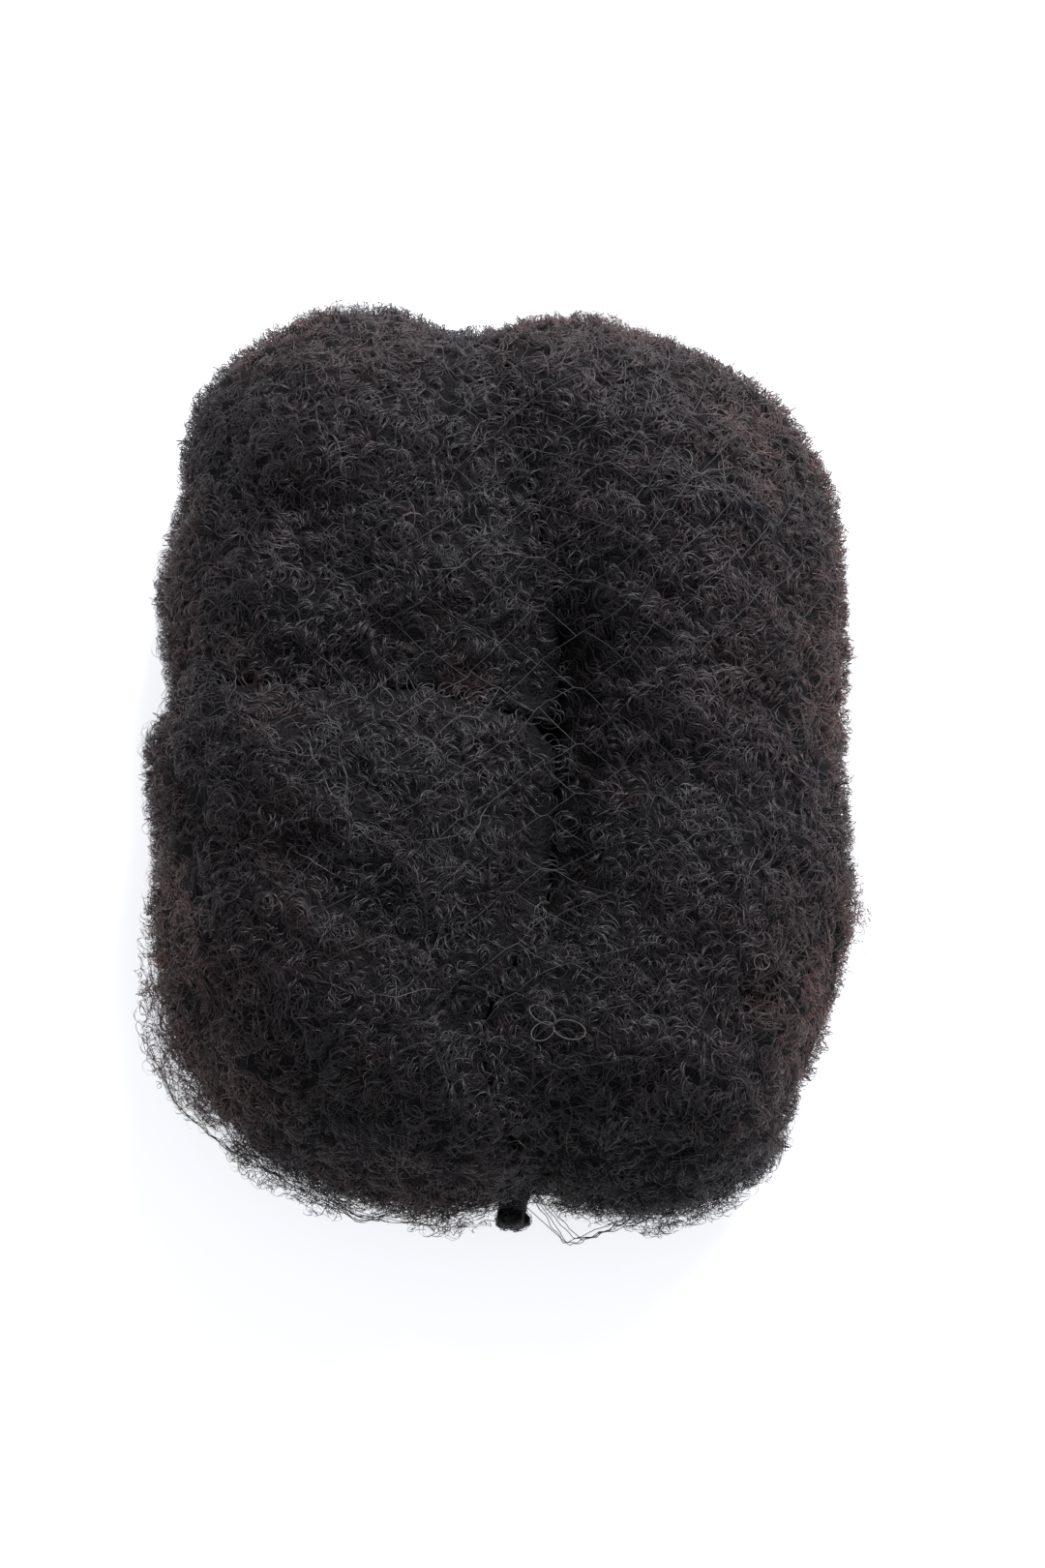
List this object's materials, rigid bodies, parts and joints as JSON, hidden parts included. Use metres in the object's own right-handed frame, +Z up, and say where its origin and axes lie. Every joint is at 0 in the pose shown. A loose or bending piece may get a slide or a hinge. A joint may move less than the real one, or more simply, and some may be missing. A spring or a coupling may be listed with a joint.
{
  "type": "bulk braiding hair bundle",
  "caption": "Bundle of black, tightly curled bulk hair for braiding: rounded wads pressed together in a fine net that is gathered and tied off at one end.",
  "frame": {"origin": "middle of the bundle's bounding box, on the floor it lies on", "axes": "+Y along the bundle away from the tied end of its net, +Z up from the side it lies on, +X to the right"},
  "size_m": [0.1302, 0.1722, 0.057],
  "materials": {
    "hair": "matte curled fibre",
    "net": "matte twisted thread"
  },
  "bodies": {
    "root": {"upper_wad": "hair", "left_wad": "hair", "right_wad": "hair", "net_knot": "net"}
  },
  "joints": []
}
